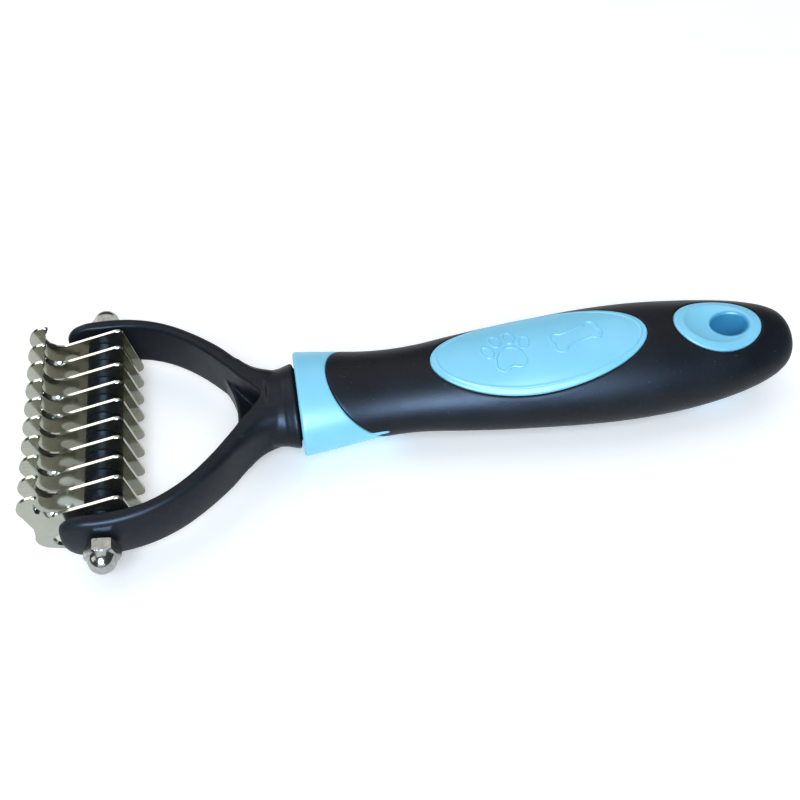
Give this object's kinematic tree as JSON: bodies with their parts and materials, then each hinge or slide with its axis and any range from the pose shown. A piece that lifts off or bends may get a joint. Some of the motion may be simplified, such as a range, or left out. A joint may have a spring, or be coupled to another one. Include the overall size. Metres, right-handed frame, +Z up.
{
  "type": "deshedding tool",
  "caption": "Handheld pet deshedding and dematting rake: hooked steel blades stacked on a cross bolt in a forked head, with a two-material grip handle that has a hang hole.",
  "frame": {"origin": "bottom centre of the whole tool's bounding box, with the tool lying flat on the belly of its handle", "axes": "+X along the handle from the blades to the tail, +Y along the cross bolt towards the left side, +Z up, on the side the upper hooks open towards"},
  "size_m": [0.1858, 0.077, 0.0239],
  "materials": {
    "blade_steel": "mirror-polished stainless steel with ground cutting bevels",
    "bolt_steel": "plain zinc-plated steel, hidden inside the sleeves and nuts",
    "nut_chrome": "bright chrome plating",
    "sleeve_black": "glossy black",
    "fork_black": "satin black moulded nylon",
    "core_blue": "satin pale blue moulded plastic",
    "grip_rubber": "soft matte black over-moulded rubber"
  },
  "bodies": {
    "handle": {"fork": "fork_black", "handle_core": "core_blue", "handle_grip": "grip_rubber", "through_bolt": "bolt_steel"},
    "cassette": {"blade_01": "blade_steel", "blade_02": "blade_steel", "blade_03": "blade_steel", "blade_04": "blade_steel", "blade_05": "blade_steel", "blade_06": "blade_steel", "blade_07": "blade_steel", "blade_08": "blade_steel", "blade_09": "blade_steel", "blade_10": "blade_steel", "spacer_01": "sleeve_black", "spacer_02": "sleeve_black", "spacer_03": "sleeve_black", "spacer_04": "sleeve_black", "spacer_05": "sleeve_black", "spacer_06": "sleeve_black", "spacer_07": "sleeve_black", "spacer_08": "sleeve_black", "spacer_09": "sleeve_black", "end_washer_left": "sleeve_black", "end_washer_right": "sleeve_black"},
    "nut_left": {"acorn_nut_left": "nut_chrome"},
    "nut_right": {"acorn_nut_right": "nut_chrome"}
  },
  "joints": [
    {"name": "cassette_turn", "type": "hinge", "parent": "handle", "child": "cassette", "pos_m": [-0.07612, 0, 0.01129], "axis": [0, 1, 0], "range_deg": [-90, 90]},
    {"name": "nut_left_turn", "type": "hinge", "parent": "handle", "child": "nut_left", "pos_m": [-0.07612, 0.0335, 0.01129], "axis": [0, 1, 0], "continuous": true},
    {"name": "nut_right_turn", "type": "hinge", "parent": "handle", "child": "nut_right", "pos_m": [-0.07612, -0.0335, 0.01129], "axis": [0, -1, 0], "continuous": true}
  ]
}
